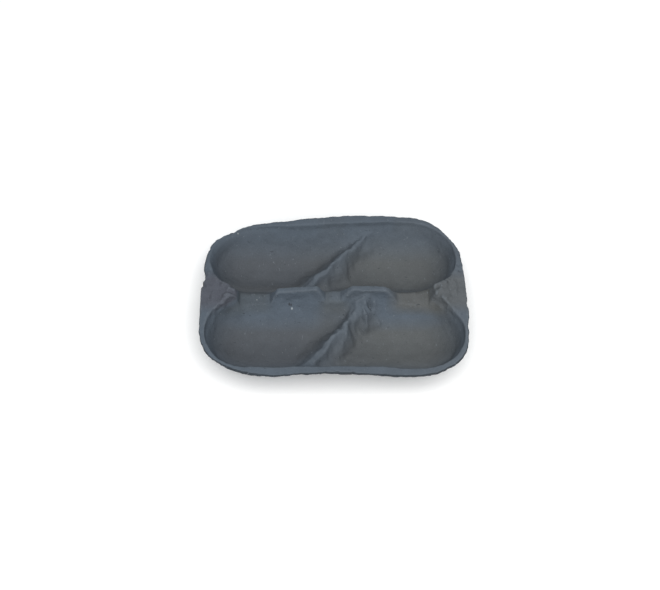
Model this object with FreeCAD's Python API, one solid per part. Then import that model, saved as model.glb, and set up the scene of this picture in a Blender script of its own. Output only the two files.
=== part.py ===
import FreeCAD, Part
import math
import os
from FreeCAD import Vector

# Molded pulp tray for four avocados: one shell of even thickness with two long wells.
# A slanting ridge parts each well into two cells, and a low rib runs between the wells.
# X runs along the wells, Y across them, Z up. The origin is at the middle of the face
# that the tray stands on. Millimetres and degrees.

# Shell and rim
wall = 2.0                    # thickness of the pulp
rim_height = 28.0             # top of the flange above the table
side_flange_width = 5.4       # flat flange along the long sides
end_flange_width = 4.0        # the same flange at the ends of the wells
corner_radius = 37.0          # outer corners of the flange
pressed_corner_radius = 48.0  # back left corner, which is pressed in and down
pressed_corner_turn = 128.0   # direction that it lies in, from the tray's middle
pressed_corner_hinge = 66.0   # the flange bends down this far from the tray's middle
pressed_corner_slope = 11.5   # slopes are measured up from the level
right_corner_turn = 48.0      # back right corner, which sags a little
right_corner_hinge = 80.0
right_corner_slope = 7.0

# Wells, with fully rounded ends
well_length = 182.0
well_width = 62.5
collar_depth = 3.0            # near-vertical band under the flange
collar_draft = 6.0            # lean of the collar from the vertical
bowl_radius = 29.0            # rounds the well from wall to wall, and each end into a bowl
foot_width = 10.0             # flat underneath, along each well, that the tray stands on

# Rib between the wells
rib_width = 3.5               # flat top of the rib, at the flange's height
rib_rise = 4.0                # its pads stand this much above the flange
saddle_depth = 12.0           # saddles below the top of the pads
saddle_reach = 13.0           # each saddle clears this much either side of the rib's middle
middle_saddle_width = 11.6    # bottom of the saddle between the pads
middle_saddle_run = 6.4       # sideways run of its slopes, bottom to top
pad_foot_length = 40.8        # each pad along the rib, at the saddles' level
pad_outer_run = 7.0           # sideways run of the pad's outer slope
end_saddle_width = 21.1       # bottom of the saddle between pad and web
web_run = 4.5                 # sideways run of the web's blunt end

# Slanting ridge, seen from above, about the middle of its well
ridge_angle = 49.0            # crest, turned from the wells' length
crest_drop = 9.5              # crest below the flange
crest_width = 3.0
far_flank_slope = 68.0
far_foot_reach = -6.0         # facet along the far flank's foot, at the crest's height
far_foot_slope = 40.0
near_flank_slope = 73.0
shoulder_slope = 48.0         # broad facet on the near side of the crest
shoulder_end_turn = -10.0     # direction that the shoulder's end faces
shoulder_end_reach = 10.2     # its distance from the well's middle, at the crest's height
shoulder_end_slope = 82.0
shoulder_foot_turn = -65.0    # direction that the shoulder's front faces
shoulder_foot_reach = 3.7
shoulder_foot_slope = 75.5
toe_slope = 45.0              # facet where the ridge runs into the near wall
toe_end_turn = 0.0
toe_end_reach = -10.0
toe_end_slope = 78.0

# Worked out from the sizes above
tray_length = well_length + 2 * end_flange_width
tray_width = 2 * well_width + rib_width + 2 * side_flange_width
rib_top = rim_height + rib_rise
saddle_height = rib_top - saddle_depth
well_offset = (rib_width + well_width) / 2
spare = 10.0                  # cutting solids run past what they cut by this much


def tangent(angle):
    return math.tan(math.radians(angle))


def cosine(angle):
    return math.cos(math.radians(angle))


def sine(angle):
    return math.sin(math.radians(angle))


def hollow_radius():
    """Radius of the wells' round bottom, kept small enough to end under the collar."""
    rise = rim_height - collar_depth - wall
    reach = well_width / 2 - collar_depth * tangent(collar_draft)
    return min(bowl_radius, 0.97 * (rise * rise + reach * reach) / (2 * rise))


def well_half_section(grow, side):
    """Half of a well's cross section at x = 0, moved outward by grow, on the given side of its axis.

    From the middle out: a flat floor, an arc about a centre on the well's axis, a straight
    wall tangent to the arc, and the collar.
    """
    radius = hollow_radius()
    centre_z = math.sqrt((radius + wall) ** 2 - (foot_width / 2) ** 2)
    floor_z = wall - grow
    reach = radius + grow
    floor_half = math.sqrt(reach ** 2 - (centre_z - floor_z) ** 2)

    # The wall leaves the arc where it points at the collar's lower edge
    collar_z = rim_height - collar_depth
    collar_y = well_width / 2 - collar_depth * tangent(collar_draft)
    distance = math.hypot(collar_y, centre_z - collar_z)
    wall_draft = math.degrees(math.atan2(centre_z - collar_z, collar_y) + math.acos(radius / distance))
    floor_turn = math.degrees(math.acos(floor_half / reach))

    # Where the moved collar meets the moved wall
    mouth_y = well_width / 2 + grow / cosine(collar_draft)
    wall_y = collar_y + grow / cosine(wall_draft)
    knee_z = (wall_y - mouth_y + rim_height * tangent(collar_draft)
              - collar_z * tangent(wall_draft)) / (tangent(collar_draft) - tangent(wall_draft))
    knee_y = mouth_y - (rim_height - knee_z) * tangent(collar_draft)

    def point(y, z):
        return Vector(0, side * y, z)

    def arc_point(turn):
        return point(reach * cosine(turn), centre_z - reach * sine(turn))

    floor_middle = point(0, floor_z)
    floor_edge = arc_point(floor_turn)
    wall_foot = arc_point(wall_draft)
    knee = point(knee_y, knee_z)
    mouth_edge = point(mouth_y + rib_rise * tangent(collar_draft), rib_top)
    mouth_middle = point(0, rib_top)

    edges = [
        Part.makeLine(floor_middle, floor_edge),
        Part.Arc(floor_edge, arc_point((floor_turn + wall_draft) / 2), wall_foot).toShape(),
        Part.makeLine(wall_foot, knee),
        Part.makeLine(knee, mouth_edge),
        Part.makeLine(mouth_edge, mouth_middle),
        Part.makeLine(mouth_middle, floor_middle),
    ]
    return Part.Face(Part.Wire(edges))


def well_hollow(grow):
    """Space inside one well about its own middle: a straight trough with a half bowl at each end."""
    straight = well_length - well_width
    pieces = []
    for side in (-1, 1):
        half = well_half_section(grow, side)
        trough = half.translated(Vector(-straight / 2, 0, 0))
        pieces.append(trough.extrude(Vector(straight, 0, 0)))
        bowl_axis = Vector(-side * straight / 2, 0, 0)
        bowl = half.translated(bowl_axis)
        pieces.append(bowl.revolve(bowl_axis, Vector(0, 0, 1), 180))
    return pieces[0].fuse(pieces[1:]).removeSplitter()


def cut_back(solid, turn, reach, height, slope, inset):
    """Cuts a solid by a face that faces turn and lies reach from the axis at the given height."""
    normal = Vector(cosine(turn) * sine(slope), sine(turn) * sine(slope), cosine(slope))
    on_face = Vector(reach * cosine(turn), reach * sine(turn), height) - normal * inset
    size = 4 * well_length
    outside = Part.makeBox(size, size, size, Vector(-size / 2, -size / 2, 0))
    outside.Placement = FreeCAD.Placement(on_face, FreeCAD.Rotation(Vector(0, 0, 1), normal))
    return solid.cut(outside)


def ridge_block(inset, faces):
    """Convex block under the crest, bounded by the given faces, each moved inward by inset."""
    length = 2 * well_length
    height = rim_height - crest_drop - inset + spare
    block = Part.makeBox(length, length, height, Vector(-length / 2, -length / 2, -spare))
    for turn, reach, slope in faces:
        block = cut_back(block, turn, reach, rim_height - crest_drop, slope, inset)
    return block


def ridge(inset):
    """Slanting ridge: a narrow spine, a broad shoulder past its middle and a toe at the near wall."""
    far_turn = ridge_angle + 90
    near_turn = ridge_angle - 90
    far_flank = (far_turn, crest_width / 2, far_flank_slope)
    near_flank = (near_turn, crest_width / 2, near_flank_slope)
    spine = [far_flank, near_flank]
    far_foot = [(far_turn, far_foot_reach, far_foot_slope), near_flank]
    shoulder = [
        far_flank,
        (near_turn, crest_width / 2, shoulder_slope),
        (shoulder_end_turn, shoulder_end_reach, shoulder_end_slope),
        (shoulder_foot_turn, shoulder_foot_reach, shoulder_foot_slope),
    ]
    toe = [
        far_flank,
        (near_turn, crest_width / 2, toe_slope),
        (toe_end_turn, toe_end_reach, toe_end_slope),
    ]
    blocks = [ridge_block(inset, faces) for faces in (spine, far_foot, shoulder, toe)]
    return blocks[0].fuse(blocks[1:])


def saddle(low_x, low_run, high_x, high_run, inset):
    """Channel across the rib, flat from low_x to high_x, with a slope of the given run at each end."""
    bottom = saddle_height - inset
    top = rib_top + spare

    def edge(x, run, outward, z):
        lean = run / saddle_depth
        shift = (z - saddle_height) * lean + inset * math.sqrt(1 + lean * lean)
        return Vector(x + outward * shift, -saddle_reach, z)

    corners = [
        edge(low_x, low_run, -1, bottom),
        edge(high_x, high_run, 1, bottom),
        edge(high_x, high_run, 1, top),
        edge(low_x, low_run, -1, top),
    ]
    face = Part.Face(Part.makePolygon(corners + corners[:1]))
    return face.extrude(Vector(0, 2 * saddle_reach, 0))


def saddles(inset):
    """The middle saddle and the two end saddles, left and right alike."""
    middle_half = middle_saddle_width / 2
    inner = middle_half + pad_foot_length
    outer = inner + end_saddle_width
    return [
        saddle(-middle_half, middle_saddle_run, middle_half, middle_saddle_run, inset),
        saddle(inner, pad_outer_run, outer, web_run, inset),
        saddle(-outer, web_run, -inner, pad_outer_run, inset),
    ]


def rim_block(inset, overhang):
    """Rounded block up to the flange, wider than the tray by overhang all round.

    The back left corner is rounder than the others, and both back corners slope down.
    """
    length = tray_length + 2 * overhang
    width = tray_width + 2 * overhang
    bottom = -inset - spare
    corner = Vector(-length / 2, -width / 2, bottom)
    block = Part.makeBox(length, width, rim_height - inset - bottom, corner)

    def corner_edge(side_x, side_y):
        at_corner = Vector(side_x * length / 2, side_y * width / 2, bottom)
        upright = [edge for edge in block.Edges if abs(edge.tangentAt(0).z) > 0.99]
        return min(upright, key=lambda edge: edge.distToShape(Part.Vertex(at_corner))[0])

    plain_radius = min(corner_radius, 0.49 * tray_width) + overhang
    pressed_radius = min(pressed_corner_radius, 0.98 * tray_width - corner_radius) + overhang
    corners = [(-1, -1, plain_radius), (1, -1, plain_radius), (1, 1, plain_radius), (-1, 1, pressed_radius)]
    for side_x, side_y, radius in corners:
        block = block.makeFillet(radius, [corner_edge(side_x, side_y)])
    slopes = [
        (pressed_corner_turn, pressed_corner_hinge, pressed_corner_slope),
        (right_corner_turn, right_corner_hinge, right_corner_slope),
    ]
    for turn, hinge, slope in slopes:
        block = cut_back(block, turn, hinge, rim_height, slope, inset)
    return block


def rib_bar(inset):
    """Raised part of the rib, which the wells and saddles trim to the two pads."""
    half_length = middle_saddle_width / 2 + pad_foot_length + end_saddle_width / 2
    half_width = rib_width / 2 + wall
    corner = Vector(-half_length, -half_width, 0)
    return Part.makeBox(2 * half_length, 2 * half_width, rib_top - inset, corner)


def under_surface(inset, overhang):
    """Everything under the tray's upper surface, with that surface moved into it by inset."""
    body = rim_block(inset, overhang).fuse(rib_bar(inset))
    cells = well_hollow(inset).cut(ridge(inset))
    for side in (-1, 1):
        body = body.cut(cells.translated(Vector(0, side * well_offset, 0)))
    for channel in saddles(inset):
        body = body.cut(channel)
    return body


def tray():
    """The shell between the upper surface and the same surface moved inward by the wall."""
    shell = under_surface(0, 0).cut(under_surface(wall, spare))
    return shell.removeSplitter()


os.makedirs("parts", exist_ok=True)
shape = tray()
print("solids", len(shape.Solids), "valid", shape.isValid(), "volume", round(shape.Volume))
print("box", shape.BoundBox)
shape.exportStep("parts/tray.step")
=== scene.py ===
"""Molded pulp avocado tray: the visible shell, its material, the floor, the light and the camera."""
import math

import bpy
import numpy as np
from mathutils import Matrix, Vector


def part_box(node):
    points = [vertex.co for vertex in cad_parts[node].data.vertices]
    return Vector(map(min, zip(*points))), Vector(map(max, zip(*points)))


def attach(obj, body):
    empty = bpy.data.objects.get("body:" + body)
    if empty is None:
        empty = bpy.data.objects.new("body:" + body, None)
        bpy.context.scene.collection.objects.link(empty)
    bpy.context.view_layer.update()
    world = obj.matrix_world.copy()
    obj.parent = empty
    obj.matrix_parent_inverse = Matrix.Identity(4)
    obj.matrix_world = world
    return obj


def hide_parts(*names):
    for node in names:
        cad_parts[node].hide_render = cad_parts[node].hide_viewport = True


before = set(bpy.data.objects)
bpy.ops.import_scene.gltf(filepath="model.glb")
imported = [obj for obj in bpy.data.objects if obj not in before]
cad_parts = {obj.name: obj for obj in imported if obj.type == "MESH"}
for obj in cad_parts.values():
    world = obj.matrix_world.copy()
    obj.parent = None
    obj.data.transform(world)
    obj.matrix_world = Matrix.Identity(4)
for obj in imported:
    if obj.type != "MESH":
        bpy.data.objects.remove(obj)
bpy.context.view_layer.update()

# Sizes of the tray in millimetres and degrees, as the CAD model has them
WALL = 2.0
RIM_HEIGHT = 28.0
SIDE_FLANGE_WIDTH = 5.4
END_FLANGE_WIDTH = 4.0
CORNER_RADIUS = 37.0
WELL_LENGTH = 182.0
WELL_WIDTH = 62.5
BOWL_RADIUS = 29.0
FOOT_WIDTH = 10.0
RIB_WIDTH = 3.5
RIB_RISE = 4.0
SADDLE_DEPTH = 12.0
CREST_DROP = 9.5              # crests of the ridges below the flange
TRAY_LENGTH = WELL_LENGTH + 2 * END_FLANGE_WIDTH
TRAY_WIDTH = 2 * WELL_WIDTH + RIB_WIDTH + 2 * SIDE_FLANGE_WIDTH
WELL_OFFSET = (WELL_WIDTH + RIB_WIDTH) / 2
RIB_TOP = RIM_HEIGHT + RIB_RISE

# Sizes that the softer, worn shape has of its own
COLLAR_DEPTH = 4.0            # steep band under the flange
COLLAR_DRAFT = 8.0
END_DEPTH = 2.2               # the wells' round ends run this much further inside the mouth
FAR_FLANK = (0.8, 63)         # flanks of the ridges: distance from the crest's middle, and slope
SPINE_SLOPE = 64
SHOULDER_SLOPE = 48
CREST_REACH = 1.0             # near edge of the crest from its middle, and more at its near end
CREST_END_REACH = 2.2
FILLET = 8.0                  # fillet at the near foot of a ridge. The far foot's is twice that
PAD_HALF_WIDTH = 2.1          # flat top of the pads
PAD_LIP_WIDTH = 0.6
PAD_LIP_DEPTH = 6.2
PAD_LIP_SLOPE = 83
PAD_SIDE_SLOPE = 66
MIDDLE_SADDLE_LEFT = 5.8      # middle saddle from the tray's middle: its bottom, and its top
MIDDLE_SADDLE_RIGHT = 4.2
MIDDLE_SADDLE_TOP = 12.2
END_SADDLE_START = 46.6       # bottoms of the two end saddles, from the tray's middle
END_SADDLE_END = 67.7
PAD_RUN_LEFT = 5.6            # sideways run of the pads' outer slopes, and of the webs' ends
PAD_RUN_RIGHT = 9.0
WEB_RUN = 4.5
PADS_END = 60.0               # the pads' section ends in the end saddles
WEB_RISE = 1.8                # the flange rolls up this much at the rib's ends
WEB_LIP_RISE = 1.2            # its lips around the wells' mouths stand higher still
WEB_HALF_WIDTH = 13.0
WEB_LIP = (1.8, 1.5)          # a lip's distance from the mouth, and its half width

# The ridge in each well: side 1 is the back well and side -1 the front one, and the angle is the
# crest's direction. Faces are given as the direction that they face, their distance from the
# well's middle at the crest's height, and their slope. The crest is shifted towards the near
# side and sways: place along it, half length and more shift. It rises between two places along
# it by a height. It is broadest about one place (place, half length and more reach on the near
# side) and most crumpled about another
RIDGES = [
    {
        "side": 1,
        "angle": 47,
        "faces": [(-13, 6.6, 66), (-67, 4.0, 60)],
        "shift": 0.7,
        "sways": [(20, 5, 1.1), (-7, 4, 0.9), (-18, 5, -1.9)],
        "rise": (27, 38, 1.6),
        "broad_at": (33, 7, 2.0),
        "crumple": 0.25,
        "crumple_at": (33, 8, 0.4),
    },
    {
        "side": -1,
        "angle": 51,
        "faces": [(-7, 8.0, 72), (-31, 4.2, 68), (-62, 2.2, 50)],
        "shift": -1.2,
        "sways": [(30, 5, -1.0), (12, 5, 1.0)],
        "rise": (16, 36, 5.4),
        "broad_at": (32, 8, 3.8),
        "crumple": 0.35,
        "crumple_at": (26, 9, 0.6),
    },
]

# Corners of the rim that are bent down: direction from the tray's middle, distance of the
# fold from it, and slope
SUNK_CORNERS = [
    (128, 66, 11.5),
    (48, 80, 7.0),
]

# Dents of the flange's outline: direction from the middle, half width of the dent in
# degrees, and how far it stands out of the plain rounded outline
OUTLINE_DENTS = [
    (-177, 6, 1.2),
    (-129, 8, -2.2),
    (-26, 8, -2.1),
    (3, 9, 0.5),
    (38, 13, -2.0),
    (97, 8, -2.0),
    (111, 10, -2.8),
    (131, 12, -4.4),
    (142, 7, 1.0),
    (151, 10, -1.9),
    (171, 6, -2.1),
]
DENT_REACH = 9.0              # how far in from the outline the dents and the raggedness reach
RAGGED_REACH = 4.0

# Where the soft rim and rib have been pushed: middle, half sizes along X and Y, and shift
PUSHES = [
    # front rim
    ((46, -72), (17, 20), (0, 0, -2.2)),
    ((-42, -72), (12, 20), (0, 0, -1.8)),
    ((-5, -72), (26, 14), (0, 0.4, 1.9)),
    # back rim
    ((-66, 56), (34, 34), (1.2, -2.0, 0)),
    ((10, 72), (70, 14), (0, 0, 1.5)),
    # rib
    ((-42, 0), (20, 9), (0, -0.6, -2.6)),
    ((-62, 0), (10, 8), (0, -0.4, -1.4)),
    ((0, 0), (7, 9), (0, 0.4, 1.8)),
    ((40, 0), (14, 9), (0, -0.2, -1.0)),
    ((58, 0), (9, 8), (0, -0.4, -1.4)),
    ((70, 0), (4, 7), (1.5, 0, 0)),
]

# Where a well's wall stands off its plain form: middle, half sizes along X and Y, and shift
WALL_SHIFTS = [
    # beside the webs
    ((82, -17), (12, 12), (-1.8, -1.0)),
    ((72, 6), (8, 8), (0.4, 1.8)),
    ((-79, 8), (6, 6), (-0.2, -0.9)),
    ((-79, -10), (6, 6), (1.0, -1.3)),
    # along the back and front rims
    ((-22, 64), (24, 20), (0, -3.6)),
    ((14, 64), (20, 20), (0, -1.2)),
    ((-45, -64), (28, 20), (0, 1.5)),
    ((32, -64), (22, 20), (0, 1.4)),
]

# Height of the round at a well's mouth, how much higher it is where the mouth lies low in the
# saddles, and where it is higher still: middle, half sizes along X and Y, and height
MOUTH_BLEND = 1.2
LOW_MOUTH_BLEND = 3.8
SOFT_MOUTHS = [
    ((-68, 58), (32, 20), 4.5),
    ((-26, 62), (22, 16), 3.8),
    ((52, 62), (22, 16), 2.2),
]

# Small lumps and pits in the pulp: place, radius and height
LUMPS = [
    # knob and pit at the far end of the front ridge
    ((21.5, -4.5), 3.0, 3.0),
    ((25.5, -3.2), 2.6, 3.0),
    ((28.8, -6.0), 2.2, 3.0),
    ((28.4, -10.5), 2.2, 1.6),
    ((25.0, -7.4), 2.0, -4.4),
    # hollows in its near flank and crest
    ((19.5, -12.5), 2.0, -2.2),
    ((16.8, -20.8), 2.0, -2.6),
    ((4.4, -25.8), 2.6, -1.6),
    # fold down its near flank, and the swelling under it
    ((9.0, -21.5), 1.4, 1.5),
    ((8.8, -24.3), 1.4, 1.7),
    ((8.6, -27.0), 1.4, 1.7),
    ((8.1, -29.7), 1.4, 1.6),
    ((7.2, -32.3), 1.4, 1.4),
    ((5.4, -34.9), 1.5, 1.2),
    ((11.8, -31.6), 2.8, 2.3),
    ((9.6, -36.4), 3.4, 2.6),
    # cracked left web
    ((-70.5, -10.0), 5.0, 3.6),
    ((-72.4, 3.6), 1.7, -3.6),
    ((-72.2, -2.2), 1.8, -3.8),
    ((-75.0, 0.8), 1.7, 1.6),
    ((-77.5, 7.5), 1.6, 0.9),
    ((-78.0, -5.5), 1.6, 0.8),
    # cracked right web
    ((73.4, 2.6), 1.8, -3.6),
    ((74.2, -4.2), 1.7, -2.8),
    ((76.5, 0.2), 1.8, 1.0),
    ((80.5, 6.5), 1.8, 0.8),
    # nicks in the right rim, and a hollow in the back one
    ((91.8, 24.0), 0.9, -1.6),
    ((92.4, 18.5), 0.9, -1.6),
    ((90.4, -19.7), 0.9, -1.6),
    ((27.0, 61.6), 4.0, -1.0),
]

# Single pale and dark specks stuck in the pulp: place, radius and colour
SPECKS = [
    ((-70.7, 58.4), 0.6, (0.22, 0.24, 0.25, 1)),
    ((-55.6, -1.1), 0.6, (0.20, 0.21, 0.22, 1)),
    ((-30.4, -7.3), 0.8, (0.28, 0.31, 0.33, 1)),
    ((-32.3, -5.4), 0.8, (0.040, 0.044, 0.052, 1)),
    ((-31.0, -5.7), 0.7, (0.040, 0.044, 0.052, 1)),
]

# Raggedness of the outline, and unevenness of the pressed pulp all over and on the webs: height,
# wavelength and seed of the waves
RAGGEDNESS = [(0.10, 2.6, 11), (0.14, 8, 12)]
UNEVENNESS = [(0.16, 34, 1), (0.10, 13, 2), (0.06, 5.5, 3), (0.035, 2.6, 4)]
WEB_UNEVENNESS = [(0.16, 6, 5), (0.11, 2.8, 6)]

# Colours of the pulp and of what lies on it, as linear red, green and blue
FLOOR_LEFT = (0.0700, 0.0775, 0.0880, 1)
FLOOR_RIGHT = (0.0860, 0.0925, 0.0960, 1)
RIM_LEFT = (0.0730, 0.0910, 0.1130, 1)
RIM_RIGHT = (0.0800, 0.0960, 0.1150, 1)
BLUISH = (0.0800, 0.1010, 0.1280, 1)
PURPLISH = (0.0820, 0.0870, 0.1060, 1)
WARM = (0.0890, 0.0955, 0.1000, 1)
# Pale colour of the edges, partly wear and partly painted highlight
WORN_AND_HIGHLIT = (0.125, 0.143, 0.164, 1)
PALE_FIBRE = (0.15, 0.17, 0.19, 1)
DARK_FIBRE = (0.030, 0.036, 0.043, 1)

# Factors on the colour in the saddles, and of the painted warm light on the near side of the back
# left floor
LESS_BLUE = (0.985, 0.950, 0.895, 1)
WARM_PAINTED_LIGHT = (1.17, 1.11, 1.04, 1)

# Strength of the tints near the rib, and of the painted shadow on the rim's outer edge
RIB_TINT = 0.85
EDGE_PAINTED_SHADOW = 0.6

MM = 0.001                    # a millimetre in metres
VOXEL = 1.02                  # mesh size of the finished shell
GRID_STEP = 0.4               # mesh size of the surfaces that it is made from
GRID_MARGIN = 10              # steps of the grid beyond the tray
CORNER_ROWS = 90              # rows of points in a rounded corner

# Camera: height above the tray and turn and roll in degrees, distance in metres, and lens in
# millimetres. Its shift frames the tray as shares of the picture's width
CAMERA_ELEVATION = 54.0
CAMERA_TURN = -5.02
CAMERA_ROLL = 4.14
CAMERA_DISTANCE = 0.7062
CAMERA_LENS = 53.858
CAMERA_SHIFT = (-0.0069, -0.0063)


# ---------------------------------------------------------------- small helpers

def tangent(angle):
    return math.tan(math.radians(angle))


def soft_max(a, b, blend):
    """The greater of two surfaces, with the crease between them filled over the height blend."""
    gap = np.maximum(blend - np.abs(a - b), 0)
    return np.maximum(a, b) + gap * gap / (4 * blend)


def soft_min(a, b, blend):
    """The lower of two surfaces, with the edge between them rounded over the height blend."""
    return -soft_max(-a, -b, blend)


def fade(value, start, end):
    """0 at start, 1 at end, with a smooth rise between them."""
    share = np.clip((value - start) / (end - start), 0, 1)
    return share * share * (3 - 2 * share)


def bell(value, middle, half_width):
    """Soft hump of height 1 about middle, which is down to about a third at half_width."""
    return np.exp(-((value - middle) / half_width) ** 2)


def bump(x, y, middle, size):
    """Soft round hump of height 1 about middle, with the given half sizes along X and Y."""
    return np.exp(-((x - middle[0]) / size[0]) ** 2 - ((y - middle[1]) / size[1]) ** 2)


def ripples(points, wavelength, seed, waves=24):
    """Smooth random waves through space of about unit height, the same for the same seed."""
    random = np.random.default_rng(seed)
    directions = random.normal(size=(waves, 3))
    directions /= np.linalg.norm(directions, axis=1)[:, None]
    pitch = wavelength * random.uniform(0.7, 1.5, waves)
    phase = random.uniform(0, 2 * math.pi, waves)
    total = np.zeros(points.shape[:-1])
    for direction, length, start in zip(directions, pitch, phase):
        total += np.sin(points @ direction * (2 * math.pi / length) + start)
    return total / math.sqrt(waves / 2)


# ---------------------------------------------------------------- the tray's upper surface

def well_depth(edge):
    """Depth below the flange at a distance inside the well's mouth: collar, wall, round, floor."""
    centre_z = math.sqrt((BOWL_RADIUS + WALL) ** 2 - (FOOT_WIDTH / 2) ** 2)
    collar_z = RIM_HEIGHT - COLLAR_DEPTH
    collar_run = COLLAR_DEPTH * tangent(COLLAR_DRAFT)
    collar_y = WELL_WIDTH / 2 - collar_run
    distance = math.hypot(collar_y, centre_z - collar_z)
    wall_draft = math.atan2(centre_z - collar_z, collar_y) + math.acos(BOWL_RADIUS / distance)

    collar = edge / tangent(COLLAR_DRAFT)
    wall = COLLAR_DEPTH + (edge - collar_run) / math.tan(wall_draft)
    reach = WELL_WIDTH / 2 - edge
    drop = np.sqrt(np.maximum(BOWL_RADIUS ** 2 - reach ** 2, 0))
    bowl = np.minimum(RIM_HEIGHT - centre_z + drop, RIM_HEIGHT - WALL)
    below_wall = reach < BOWL_RADIUS * math.cos(wall_draft)
    return np.where(edge < collar_run, collar, np.where(below_wall, bowl, wall))


def well_edge(x, y, side):
    """Distance inside the mouth of the back (side 1) or front (side -1) well.

    In the round ends it grows faster than the true distance, which makes them steeper.
    """
    moved_x, moved_y = x, y
    for middle, size, shift in WALL_SHIFTS:
        share = bump(x, y, middle, size)
        moved_x, moved_y = moved_x - shift[0] * share, moved_y - shift[1] * share
    radius = WELL_WIDTH / 2
    along = np.maximum(np.abs(moved_x) - (WELL_LENGTH / 2 - radius), 0)
    edge = radius - np.hypot(along, moved_y - side * WELL_OFFSET)
    return edge + END_DEPTH * fade(edge, 0.5, 6) * fade(along, 0, 24)


def ridge_block(x, y, crest, faces, blend):
    """Height of a block under the crest, bounded by faces given as (turn, reach, slope)."""
    block = crest + 0 * x
    for turn, reach, slope in faces:
        angle = math.radians(turn)
        beyond = x * math.cos(angle) + y * math.sin(angle) - reach
        block = soft_min(block, crest - beyond * tangent(slope), blend)
    return block


def crumpling(points, seed):
    """Long and short waves that crumple a ridge."""
    return ripples(points, 11, seed) + 0.6 * ripples(points, 5, seed + 1)


def ridge_sway(along, beside, ridge):
    """How far the ridge is shifted towards its near side. The foot of its near flank stays."""
    sway = ridge["shift"]
    for middle, half, shift in ridge["sways"]:
        sway = sway + shift * bell(along, middle, half)
    return sway * fade(beside, 9, 3)


def ridge_surface(x, y, ridge):
    """Slanting ridge about the well's middle: a narrow spine on a broad, faceted shoulder."""
    turn = math.radians(ridge["angle"])
    along = x * math.cos(turn) + y * math.sin(turn)
    beside = x * math.sin(turn) - y * math.cos(turn)
    sway = ridge_sway(along, beside, ridge)
    x, y = x - sway * math.sin(turn), y + sway * math.cos(turn)

    middle, half, more = ridge["crumple_at"]
    crumple = ridge["crumple"] + more * bell(along, middle, half)
    flat = np.stack([x, y, 0 * x + ridge["angle"]], -1)
    x = x + crumple * crumpling(flat, 21)
    y = y + crumple * crumpling(flat, 23)
    start, end, rise = ridge["rise"]
    crest = RIM_HEIGHT - CREST_DROP + rise * fade(along, start, end)
    crest = crest + crumple * ripples(flat, 7, 25)
    middle, half, more = ridge["broad_at"]
    near_reach = CREST_REACH + more * bell(along, middle, half)
    near_reach = near_reach + CREST_END_REACH * fade(along, -4, -14)

    far_face = (ridge["angle"] + 90, *FAR_FLANK)
    spine_face = (ridge["angle"] - 90, near_reach, SPINE_SLOPE)
    shoulder_face = (ridge["angle"] - 90, CREST_REACH, SHOULDER_SLOPE)
    spine = ridge_block(x, y, crest, [far_face, spine_face], blend=1.6)
    shoulder = ridge_block(x, y, crest, [far_face, shoulder_face], blend=1.6)
    facets = ridge_block(x, y, crest, ridge["faces"], blend=3.0)
    shoulder = soft_min(shoulder, facets, blend=2.4)
    return soft_max(spine, shoulder, blend=4.5)


def ridge_fillet(x, y, angle):
    """Height of the fillet at the ridge's foot, wide on its far side and tight on its near side."""
    turn = math.radians(angle)
    beyond = y * math.cos(turn) - x * math.sin(turn)
    return FILLET + FILLET * fade(beyond, -1, 5)


def pad_surface(x, y):
    """Section of the raised pads on the rib: a flat top, a steep lip and a leaning side."""
    away = np.abs(y) - PAD_HALF_WIDTH
    lip_depth = PAD_LIP_DEPTH + 0.9 * ripples(np.stack([x, 0 * x, 0 * x], -1), 18, 31)
    lip = soft_min(RIB_TOP + 0 * y, RIB_TOP - away * tangent(PAD_LIP_SLOPE), blend=2.2)
    side_top = RIB_TOP - lip_depth
    below_lip = (away - PAD_LIP_WIDTH) * tangent(PAD_SIDE_SLOPE)
    side = soft_min(side_top + 0 * y, side_top - below_lip, blend=1.4)
    return soft_max(lip, side, blend=1.4)


def saddle_surface(x, y):
    """Bottoms and end slopes of the three saddles in the rib. Far from the rib it shoots up."""
    bottom = RIB_TOP - SADDLE_DEPTH
    out = np.abs(x)
    flat = np.where(x < 0, MIDDLE_SADDLE_LEFT, MIDDLE_SADDLE_RIGHT)
    middle = bottom + np.maximum(out - flat, 0) * (SADDLE_DEPTH / (MIDDLE_SADDLE_TOP - flat))
    run = np.where(x < 0, PAD_RUN_LEFT, PAD_RUN_RIGHT)
    end = bottom + np.maximum((END_SADDLE_START - out) * (SADDLE_DEPTH / run), 0)
    end = np.maximum(end, bottom + (out - END_SADDLE_END) * (SADDLE_DEPTH / WEB_RUN))
    return np.minimum(middle, end) + 4 * np.maximum(np.abs(y) - 15, 0)


def flange_surface(x, y):
    """Height of the flange: rolled up a little at the rib's ends, bent down at the sunk corners."""
    web = fade(np.abs(x), 94, 74) * bell(y, 0, WEB_HALF_WIDTH)
    past_mouth = -np.maximum(well_edge(x, y, 1), well_edge(x, y, -1))
    lip = bell(past_mouth, *WEB_LIP) * fade(np.abs(x), 62, 72)
    flange = RIM_HEIGHT + (WEB_RISE + WEB_LIP_RISE * lip) * web
    for turn, fold, slope in SUNK_CORNERS:
        angle = math.radians(turn)
        beyond = x * math.cos(angle) + y * math.sin(angle) - fold
        flange = soft_min(flange, RIM_HEIGHT - beyond * tangent(slope), blend=2.5)
    return flange


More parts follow.
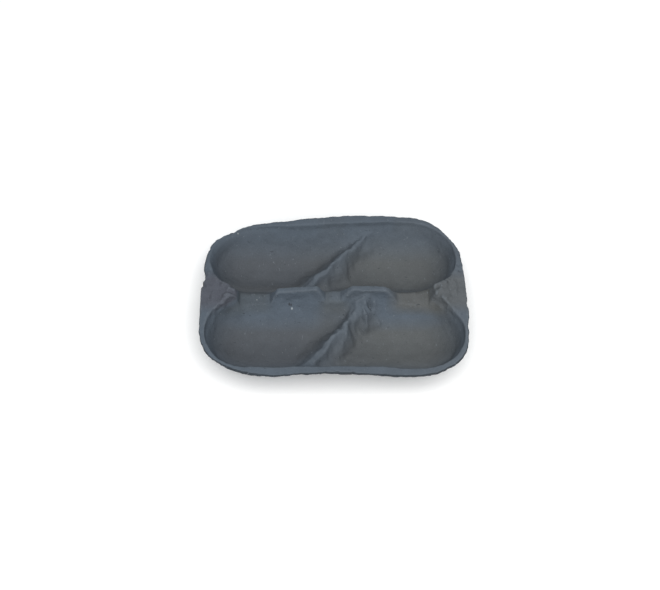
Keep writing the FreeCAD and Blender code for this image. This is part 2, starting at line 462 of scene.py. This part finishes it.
def upper_surface(x, y):
    """Height of the tray's upper surface."""
    saddles = saddle_surface(x, y)
    surface = soft_min(flange_surface(x, y), saddles, blend=2.0)
    mouth_blend = MOUTH_BLEND + LOW_MOUTH_BLEND * fade(surface, 27, 21)
    for middle, size, height in SOFT_MOUTHS:
        mouth_blend = mouth_blend + height * bump(x, y, middle, size)
    for ridge in RIDGES:
        well_y = y - ridge["side"] * WELL_OFFSET
        fillet = ridge_fillet(x, well_y, ridge["angle"])
        well = RIM_HEIGHT - well_depth(well_edge(x, y, ridge["side"]))
        floor = soft_max(well, ridge_surface(x, well_y, ridge), fillet)
        surface = soft_min(surface, floor, mouth_blend)
    pads = soft_min(pad_surface(x, y), saddles, blend=3.0)
    surface = soft_max(surface, np.where(np.abs(x) < PADS_END, pads, 0), blend=1.5)
    for middle, radius, height in LUMPS:
        surface = surface + height * bump(x, y, middle, (radius, radius))
    return surface


def lower_surface(upper):
    """Heights of the underside: the upper surface's heights moved into the pulp by the wall."""
    steps = int(WALL / GRID_STEP)
    lowest = upper - WALL
    for row in range(-steps, steps + 1):
        for column in range(-steps, steps + 1):
            reach = GRID_STEP * math.hypot(row, column)
            if reach <= WALL:
                drop = math.sqrt(WALL ** 2 - reach ** 2)
                lowest = np.minimum(lowest, np.roll(upper, (row, column), (0, 1)) - drop)
    return np.maximum(lowest, 0)


def height_grids():
    """Heights of the upper surface and of the underside over an even grid, larger than the tray."""
    half_x, half_y = (int(size / 2 / GRID_STEP) + GRID_MARGIN for size in (TRAY_LENGTH, TRAY_WIDTH))
    x = np.arange(-half_x, half_x + 1) * GRID_STEP
    y = np.arange(-half_y, half_y + 1) * GRID_STEP
    upper = upper_surface(*np.meshgrid(x, y))
    return upper, lower_surface(upper)


def sample(heights, x, y):
    """Heights at any points, read between the points of the even grid."""
    rows, columns = heights.shape
    row, column = y / GRID_STEP + rows // 2, x / GRID_STEP + columns // 2
    low_row, low_column = np.floor(row).astype(int), np.floor(column).astype(int)
    up, right = row - low_row, column - low_column
    next_row, next_column = low_row + 1, low_column + 1
    lower = heights[low_row, low_column] * (1 - right) + heights[low_row, next_column] * right
    upper = heights[next_row, low_column] * (1 - right) + heights[next_row, next_column] * right
    return lower * (1 - up) + upper * up


# ---------------------------------------------------------------- the shell's mesh

def outline_shift(x, y):
    """Moves points near the flange's edge in plan: its broad dents and its ragged fibres."""
    past_x = np.maximum(np.abs(x) - (TRAY_LENGTH / 2 - CORNER_RADIUS), 0)
    past_y = np.maximum(np.abs(y) - (TRAY_WIDTH / 2 - CORNER_RADIUS), 0)
    away = np.hypot(past_x, past_y)
    inside = CORNER_RADIUS - away
    turn = np.degrees(np.arctan2(y / TRAY_WIDTH, x / TRAY_LENGTH))
    dents = np.zeros_like(x)
    for middle, half_width, outward in OUTLINE_DENTS:
        apart = (turn - middle + 180) % 360 - 180
        dents += outward * bell(apart, 0, half_width)
    flat = np.stack([x, y, 0 * x], -1)
    ragged = unevenness(flat, RAGGEDNESS)
    shift = dents * fade(inside, DENT_REACH, 0) + ragged * fade(inside, RAGGED_REACH, 0)
    scale = shift / np.maximum(away, 1)
    return x + np.sign(x) * past_x * scale, y + np.sign(y) * past_y * scale


def push(points):
    """Moves the soft rim. The nearer to the floor, the less a point moves."""
    x, y, z = points[..., 0], points[..., 1], points[..., 2]
    moved = points.copy()
    for middle, size, shift in PUSHES:
        share = bump(x, y, middle, size) * fade(z, 2, 26)
        moved += share[..., None] * np.array(shift)
    return moved


def plan_grid():
    """Rows of points that fill the flange's outline, bunched towards its rounded corners."""
    straight = TRAY_WIDTH / 2 - CORNER_RADIUS
    turns = np.linspace(0, math.pi / 2, CORNER_ROWS)
    corner = straight + CORNER_RADIUS * np.sin(turns)
    middle = np.arange(-straight + GRID_STEP, straight, GRID_STEP)
    rows = np.concatenate([-corner[::-1], middle, corner])
    past = np.maximum(np.abs(rows) - straight, 0)
    half = TRAY_LENGTH / 2 - CORNER_RADIUS + np.sqrt(np.maximum(CORNER_RADIUS ** 2 - past ** 2, 0))
    across = np.linspace(-1, 1, int(TRAY_LENGTH / GRID_STEP))
    x = half[:, None] * across[None, :]
    y = np.repeat(rows[:, None], len(across), 1)
    return outline_shift(x, y)


def shell_mesh():
    """Closed mesh between the upper and the lower surface."""
    x, y = plan_grid()
    upper, lower = height_grids()
    top = np.stack([x, y, sample(upper, x, y)], -1)
    under = np.stack([x, y, sample(lower, x, y)], -1)
    points = push(np.concatenate([top.reshape(-1, 3), under.reshape(-1, 3)])) * MM

    rows, columns = x.shape
    index = np.arange(rows * columns).reshape(rows, columns)
    quads = np.stack([index[:-1, :-1], index[:-1, 1:], index[1:, 1:], index[1:, :-1]], -1)
    quads = quads.reshape(-1, 4)
    loop = np.concatenate([index[0, :], index[1:, -1], index[-1, -2::-1], index[-2:0:-1, 0]])
    ahead = np.roll(loop, -1)
    count = rows * columns
    edge = np.stack([loop, loop + count, ahead + count, ahead], -1)
    faces = np.concatenate([quads, quads[:, ::-1] + count, edge])

    mesh = bpy.data.meshes.new("tray_shell")
    mesh.from_pydata(points.tolist(), [], faces.tolist())
    mesh.update()
    return mesh


def remesh(piece):
    """Gives the shell an even mesh, which rounds its edges."""
    piece.data.remesh_voxel_size = VOXEL * MM
    piece.data.remesh_voxel_adaptivity = 0
    piece.data.use_remesh_fix_poles = False
    with bpy.context.temp_override(object=piece, active_object=piece, selected_objects=[piece]):
        bpy.ops.object.voxel_remesh()


def mesh_points(mesh):
    """The mesh's points, in millimetres."""
    flat = np.empty(len(mesh.vertices) * 3)
    mesh.vertices.foreach_get("co", flat)
    return flat.reshape(-1, 3) / MM


def mesh_normals(mesh):
    flat = np.empty(len(mesh.vertices) * 3)
    mesh.vertices.foreach_get("normal", flat)
    return flat.reshape(-1, 3)


def set_mesh_points(mesh, points):
    """Moves the mesh's points to new places, in millimetres."""
    mesh.vertices.foreach_set("co", (points * MM).ravel())
    mesh.update()


def relax(mesh, rounds):
    """Evens out the mesh: each point moves halfway to the middle of its neighbours."""
    ends = np.empty(len(mesh.edges) * 2, dtype=np.int64)
    mesh.edges.foreach_get("vertices", ends)
    first, second = ends[0::2], ends[1::2]
    points = mesh_points(mesh)
    count = np.bincount(ends, minlength=len(points))[:, None]
    for _ in range(rounds):
        total = np.zeros_like(points)
        np.add.at(total, first, points[second])
        np.add.at(total, second, points[first])
        points = 0.5 * points + 0.5 * total / count
    set_mesh_points(mesh, points)


def unevenness(points, waves):
    """Sum of ripples, each given as its height, wavelength and seed."""
    return sum(height * ripples(points, length, seed) for height, length, seed in waves)


def roughen(mesh):
    """Uneven pressing and lumps of fibre, as heights along the surface's own direction."""
    points = mesh_points(mesh)
    x, y, z = points.T
    at_web = fade(np.abs(x), 66, 80) * fade(np.abs(y), 30, 12) * fade(z, 16, 24)
    height = unevenness(points, UNEVENNESS) + at_web * unevenness(points, WEB_UNEVENNESS)
    points += mesh_normals(mesh) * height[:, None]
    set_mesh_points(mesh, points)


def keep_in_box(mesh):
    """Holds the shell inside the CAD node's box, so that its feet stand flat on the floor."""
    low, high = (np.array(corner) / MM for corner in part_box("tray"))
    set_mesh_points(mesh, np.clip(mesh_points(mesh), low, high))


def make_tray():
    """The tray: the shell, its uneven surface, its material and what it stands for in the frame."""
    mesh = shell_mesh()
    piece = bpy.data.objects.new("pulp_tray", mesh)
    bpy.context.scene.collection.objects.link(piece)
    bpy.context.view_layer.objects.active = piece
    remesh(piece)
    relax(piece.data, 1)
    roughen(piece.data)
    keep_in_box(piece.data)
    piece.data.polygons.foreach_set("use_smooth", [True] * len(piece.data.polygons))
    piece.data.materials.append(pulp_material())
    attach(piece, "root")
    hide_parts("tray")


# ---------------------------------------------------------------- materials

class Nodes:
    """Short calls that add nodes to a material."""

    def __init__(self, material):
        material.use_nodes = True
        self.tree = material.node_tree
        self.shader = self.tree.nodes["Principled BSDF"]

    def add(self, kind, **settings):
        node = self.tree.nodes.new(kind)
        for name, value in settings.items():
            setattr(node, name, value)
        return node

    def link(self, source, target):
        self.tree.links.new(source, target)

    def place(self, scale=(1, 1, 1)):
        """Position on the object, in metres times scale."""
        coordinates = self.add("ShaderNodeTexCoord")
        mapping = self.add("ShaderNodeMapping")
        mapping.inputs["Scale"].default_value = scale
        self.link(coordinates.outputs["Object"], mapping.inputs["Vector"])
        return mapping.outputs["Vector"]

    def noise(self, place, scale, detail=4, roughness=0.55):
        node = self.add("ShaderNodeTexNoise")
        node.inputs["Scale"].default_value = scale
        node.inputs["Detail"].default_value = detail
        node.inputs["Roughness"].default_value = roughness
        self.link(place, node.inputs["Vector"])
        return node.outputs["Fac"]

    def spread(self, value, low, high, to_low=0, to_high=1):
        """Maps low to high onto to_low to to_high, and stops at the ends."""
        node = self.add("ShaderNodeMapRange")
        numbers = (low, high, to_low, to_high)
        for name, number in zip(("From Min", "From Max", "To Min", "To Max"), numbers):
            node.inputs[name].default_value = number
        self.link(value, node.inputs["Value"])
        return node.outputs["Result"]

    def split(self, vector):
        node = self.add("ShaderNodeSeparateXYZ")
        self.link(vector, node.inputs["Vector"])
        return node.outputs["X"], node.outputs["Y"], node.outputs["Z"]

    def grey(self, value):
        node = self.add("ShaderNodeCombineColor")
        for channel in node.inputs:
            self.link(value, channel)
        return node.outputs["Color"]

    def math(self, operation, first, second):
        node = self.add("ShaderNodeMath", operation=operation)
        for socket, value in zip(node.inputs, (first, second)):
            if isinstance(value, (int, float)):
                socket.default_value = value
            else:
                self.link(value, socket)
        return node.outputs["Value"]

    def absolute(self, value):
        return self.math("ABSOLUTE", value, 0)

    def product(self, first, *others):
        for other in others:
            first = self.math("MULTIPLY", first, other)
        return first

    def total(self, first, *others):
        for other in others:
            first = self.math("ADD", first, other)
        return first

    def mix(self, share, first, second, blend="MIX"):
        node = self.add("ShaderNodeMix", data_type="RGBA", blend_type=blend)
        sockets = (node.inputs[0], node.inputs[6], node.inputs[7])
        for socket, value in zip(sockets, (share, first, second)):
            if isinstance(value, (int, float, tuple)):
                socket.default_value = value
            else:
                self.link(value, socket)
        return node.outputs[2]


class PulpNodes(Nodes):
    """Nodes of the pulp, with the shares of its surface that lie in parts of the tray, in metres."""

    def __init__(self, material):
        super().__init__(material)
        self.position = self.place()
        self.x, self.y, self.z = self.split(self.position)
        self.out = self.absolute(self.x)
        self.aside = self.absolute(self.y)
        self.near_rib = self.spread(self.aside, 0.020, 0.010, 0, RIB_TINT)
        self.on_rib = self.product(self.near_rib, self.spread(self.z, 0.012, 0.018))
        self.on_floor = self.spread(self.z, 0.016, 0.011)
        end_saddles = self.spread(self.out, 0.044, 0.050)
        self.in_saddles = self.total(end_saddles, self.spread(self.out, 0.012, 0.006))
        left, back = self.spread(self.x, 0.0, -0.012), self.spread(self.y, 0.0, 0.004)
        self.back_left = self.product(left, back)

    def outer_edge(self):
        """Share of the surface that is the rim's outer edge, at the tray's front and ends, where a
        shadow is painted.
        """
        facing_x, facing_y, _ = self.split(self.add("ShaderNodeTexCoord").outputs["Normal"])
        along = self.product(facing_x, self.spread(self.x, -0.095, 0.095, -0.9, 0.9))
        across = self.product(facing_y, self.spread(self.y, -0.070, 0, -1.6, 0))
        outward = self.spread(self.total(along, across), 0.15, 0.70)
        at_end = self.spread(self.out, 0.074, 0.082)
        at_front = self.spread(self.y, -0.054, -0.060)
        at_side = self.math("MAXIMUM", at_end, at_front)
        return self.product(outward, self.spread(self.z, 0.019, 0.023), at_side)

    def spot(self, middle, radius):
        """Share of the surface that a round spot covers, seen from above, in millimetres."""
        away = self.add("ShaderNodeVectorMath", operation="DISTANCE")
        self.link(self.place((1, 1, 0)), away.inputs[0])
        away.inputs[1].default_value = (middle[0] * MM, middle[1] * MM, 0)
        return self.spread(away.outputs["Value"], radius * MM, 0.4 * radius * MM)

    def fibres(self, stretch, scale):
        """Share of the surface under short fibres that lie along the stretched direction."""
        mapping = self.add("ShaderNodeMapping")
        mapping.inputs["Scale"].default_value = stretch
        mapping.inputs["Rotation"].default_value = (0.3, 0.2, 0.6)
        self.link(self.position, mapping.inputs["Vector"])
        return self.spread(self.noise(mapping.outputs["Vector"], scale, 2), 0.67, 0.75, 0, 0.6)


def floor_and_wall_colour(pulp):
    """Bluer near the rim, more neutral in the cells, and warmer and paler in the right-hand ones.

    The far walls of both wells and the pads are bluish too, but not beside the front ridge.
    """
    floor = pulp.mix(pulp.spread(pulp.x, -0.030, 0.035), FLOOR_LEFT, FLOOR_RIGHT)
    rim = pulp.mix(pulp.spread(pulp.x, -0.080, 0.080), RIM_LEFT, RIM_RIGHT)
    colour = pulp.mix(pulp.spread(pulp.z, 0.004, 0.022), floor, rim)

    left_of_ridge = pulp.spread(pulp.x, -0.018, -0.006, 0.8, 0)
    right_of_ridge = pulp.spread(pulp.x, 0.020, 0.035, 0, 0.8)
    front_wall = pulp.product(pulp.spread(pulp.y, -0.020, -0.011), pulp.spread(pulp.y, 0.004, 0.0))
    far_front = pulp.product(pulp.total(left_of_ridge, right_of_ridge), front_wall)
    far_back = pulp.spread(pulp.y, 0.044, 0.056, 0, 0.4)
    beside_saddles = pulp.math("SUBTRACT", 1, pulp.in_saddles)
    on_pads = pulp.product(beside_saddles, pulp.spread(pulp.z, 0.0300, 0.0285))
    below_rim = pulp.math("MAXIMUM", pulp.spread(pulp.z, 0.022, 0.017), on_pads)
    return pulp.mix(pulp.product(pulp.total(far_front, far_back), below_rim), colour, BLUISH)


def rib_colour(pulp, colour):
    """Makes the rib's left end purplish, its right half warm and its saddles less blue."""
    on_web = pulp.product(pulp.near_rib, pulp.spread(pulp.z, 0.023, 0.026))
    left_end = pulp.product(on_web, pulp.spread(pulp.x, -0.056, -0.068))
    right_half = pulp.product(pulp.on_rib, pulp.spread(pulp.x, 0.036, 0.046))
    below_pads = pulp.product(pulp.spread(pulp.z, 0.023, 0.021), pulp.spread(pulp.z, 0.012, 0.016))
    saddles = pulp.product(pulp.in_saddles, pulp.spread(pulp.aside, 0.016, 0.010), below_pads)
    colour = pulp.mix(left_end, colour, PURPLISH)
    colour = pulp.mix(right_half, colour, WARM)
    return pulp.mix(saddles, colour, LESS_BLUE, "MULTIPLY")


def painted_shade_and_light(pulp, outer_edge):
    """How much darker the pulp is painted in parts of the tray, as painted shade; below zero it is
    paler there, as painted light.
    """
    # Painted shade low in the wells' round ends, on the rib's left part, on the pads' tops and along
    # the back rim
    at_ends = pulp.spread(pulp.out, 0.062, 0.080, 0, 0.08)
    round_end_shade = pulp.product(at_ends, pulp.spread(pulp.z, 0.027, 0.020))
    rib_left_shade = pulp.product(pulp.on_rib, pulp.spread(pulp.x, -0.038, -0.050, 0, 0.17))
    pad_top_shade = pulp.spread(pulp.z, 0.0290, 0.0305, 0, 0.06)
    back_rim_shade = pulp.spread(pulp.y, 0.055, 0.066, 0, 0.09)
    # Painted shadow on the rim's outer edge
    edge = pulp.product(outer_edge, EDGE_PAINTED_SHADOW)
    # Painted light on the front well's floor near its front wall
    front_floor_light = pulp.product(pulp.spread(pulp.y, -0.038, -0.049, 0, -0.30), pulp.on_floor)
    # Painted shade across the back left floor, and painted light on it next to the rib
    middle_band = pulp.spread(pulp.y, 0.034, 0.026, 0, 0.07)
    near_band = pulp.spread(pulp.y, 0.021, 0.014, 0, -0.2)
    back_floor_shade_and_light = pulp.product(pulp.back_left, pulp.total(middle_band, near_band), pulp.on_floor)
    return pulp.total(round_end_shade, rib_left_shade, pad_top_shade, back_rim_shade, edge, front_floor_light, back_floor_shade_and_light)


def worn_and_highlit_colour(pulp, colour, outer_edge):
    """Pale along the convex edges, partly from wear and partly as a painted highlight, most of all
    at the front, but not on the rim's outer edge.
    """
    convex = pulp.add("ShaderNodeNewGeometry").outputs["Pointiness"]
    strength = pulp.spread(pulp.y, -0.020, 0.040, 0.42, 0.14)
    elsewhere = pulp.spread(outer_edge, 0, 1, 1, 0)
    # Wear and painted highlight on convex edges
    worn_and_highlit_share = pulp.product(pulp.spread(convex, 0.510, 0.560), strength, elsewhere)
    return pulp.mix(worn_and_highlit_share, colour, WORN_AND_HIGHLIT)


def pulp_colour(pulp, mottle):
    """Mottled and speckled, with short pale and dark fibres, painted shade and painted light in
    parts of the tray, and pale edges that are partly wear and partly painted highlight.
    """
    outer_edge = pulp.outer_edge()
    speckle = pulp.noise(pulp.position, 1500, 4, 0.7)
    colour = rib_colour(pulp, floor_and_wall_colour(pulp))
    # Painted warm light on the near side of the back left floor
    lit_near_back_floor = pulp.product(pulp.back_left, pulp.on_floor, pulp.spread(pulp.y, 0.024, 0.014))
    colour = pulp.mix(lit_near_back_floor, colour, WARM_PAINTED_LIGHT, "MULTIPLY")
    patches = pulp.spread(mottle, 0.3, 0.7, -0.06, 0.06)
    grains = pulp.spread(speckle, 0.3, 0.7, 0.88, 1.12)
    # Random patches and grains, less the painted shade and painted light
    tone_less_painted_shade = pulp.math("SUBTRACT", pulp.total(patches, grains), painted_shade_and_light(pulp, outer_edge))
    colour = pulp.mix(1.0, colour, pulp.grey(tone_less_painted_shade), "MULTIPLY")
    colour = worn_and_highlit_colour(pulp, colour, outer_edge)
    colour = pulp.mix(pulp.fibres((1, 0.35, 1), 700), colour, PALE_FIBRE)
    colour = pulp.mix(pulp.fibres((0.4, 1, 1), 620), colour, DARK_FIBRE)
    for middle, radius, speck in SPECKS:
        colour = pulp.mix(pulp.spot(middle, radius), colour, speck)
    return colour


def felted_normal(pulp):
    """Fine relief of felted fibres."""
    fine_felt = pulp.noise(pulp.position, 900, 5, 0.65)
    coarse_felt = pulp.noise(pulp.position, 260, 3)
    relief = pulp.add("ShaderNodeBump")
    relief.inputs["Strength"].default_value = 0.5
    relief.inputs["Distance"].default_value = 0.4 * MM
    pulp.link(pulp.total(fine_felt, pulp.product(coarse_felt, 1.2)), relief.inputs["Height"])
    return relief.outputs["Normal"]


def pulp_material():
    """Matte slate-grey molded pulp."""
    material = bpy.data.materials.new("molded_pulp")
    pulp = PulpNodes(material)
    mottle = pulp.noise(pulp.position, 120, 3)
    pulp.link(pulp_colour(pulp, mottle), pulp.shader.inputs["Base Color"])
    pulp.link(pulp.spread(mottle, 0.3, 0.7, 0.84, 0.96), pulp.shader.inputs["Roughness"])
    pulp.shader.inputs["Specular IOR Level"].default_value = 0.22
    pulp.link(felted_normal(pulp), pulp.shader.inputs["Normal"])
    return material


def plain_material(name, colour, roughness):
    material = bpy.data.materials.new(name)
    shader = Nodes(material).shader
    shader.inputs["Base Color"].default_value = colour
    shader.inputs["Roughness"].default_value = roughness
    return material


# ---------------------------------------------------------------- floor, light and camera

def make_floor():
    half = 3.0
    corners = [(-half, -half, 0), (half, -half, 0), (half, half, 0), (-half, half, 0)]
    mesh = bpy.data.meshes.new("floor")
    mesh.from_pydata(corners, [], [(0, 1, 2, 3)])
    floor = bpy.data.objects.new("floor", mesh)
    bpy.context.scene.collection.objects.link(floor)
    mesh.materials.append(plain_material("pale_floor", (0.93, 0.93, 0.93, 1), 0.9))


def make_light(name, place, size, power, colour):
    light = bpy.data.lights.new(name, "AREA")
    light.size = size
    light.energy = power
    light.color = colour
    lamp = bpy.data.objects.new(name, light)
    bpy.context.scene.collection.objects.link(lamp)
    lamp.location = place
    lamp.rotation_euler = (-Vector(place)).to_track_quat("-Z", "Y").to_euler()


def make_world(strength, colour):
    world = bpy.data.worlds.new("studio")
    world.use_nodes = True
    background = world.node_tree.nodes["Background"]
    background.inputs["Color"].default_value = (*colour, 1)
    background.inputs["Strength"].default_value = strength
    bpy.context.scene.world = world


def make_camera():
    """Camera in front of the tray and above it, turned and rolled a little."""
    elevation = math.radians(CAMERA_ELEVATION)
    right = Vector((1, 0, 0))
    up = Vector((0, math.sin(elevation), math.cos(elevation)))
    ahead = Vector((0, math.cos(elevation), -math.sin(elevation)))
    turn = Matrix.Rotation(math.radians(CAMERA_TURN), 3, "Z")
    right, up, ahead = turn @ right, turn @ up, turn @ ahead
    roll = Matrix.Rotation(math.radians(-CAMERA_ROLL), 3, ahead)
    right, up = roll @ right, roll @ up
    place = Vector((0, 0, RIM_HEIGHT * MM)) - ahead * CAMERA_DISTANCE

    data = bpy.data.cameras.new("camera")
    data.sensor_width = 36
    data.lens = CAMERA_LENS
    data.shift_x, data.shift_y = CAMERA_SHIFT
    data.clip_end = 20
    camera = bpy.data.objects.new("camera", data)
    bpy.context.scene.collection.objects.link(camera)
    axes = Matrix((right, up, -ahead)).transposed()
    camera.matrix_world = Matrix.Translation(place) @ axes.to_4x4()
    bpy.context.scene.camera = camera


make_camera()
make_tray()
make_floor()
make_world(strength=0.51, colour=(0.95, 1.0, 1.05))
make_light("key", place=(0.04, -0.80, 1.50), size=1.9, power=38, colour=(1.0, 0.985, 0.96))
bpy.context.scene.view_settings.view_transform = "Standard"
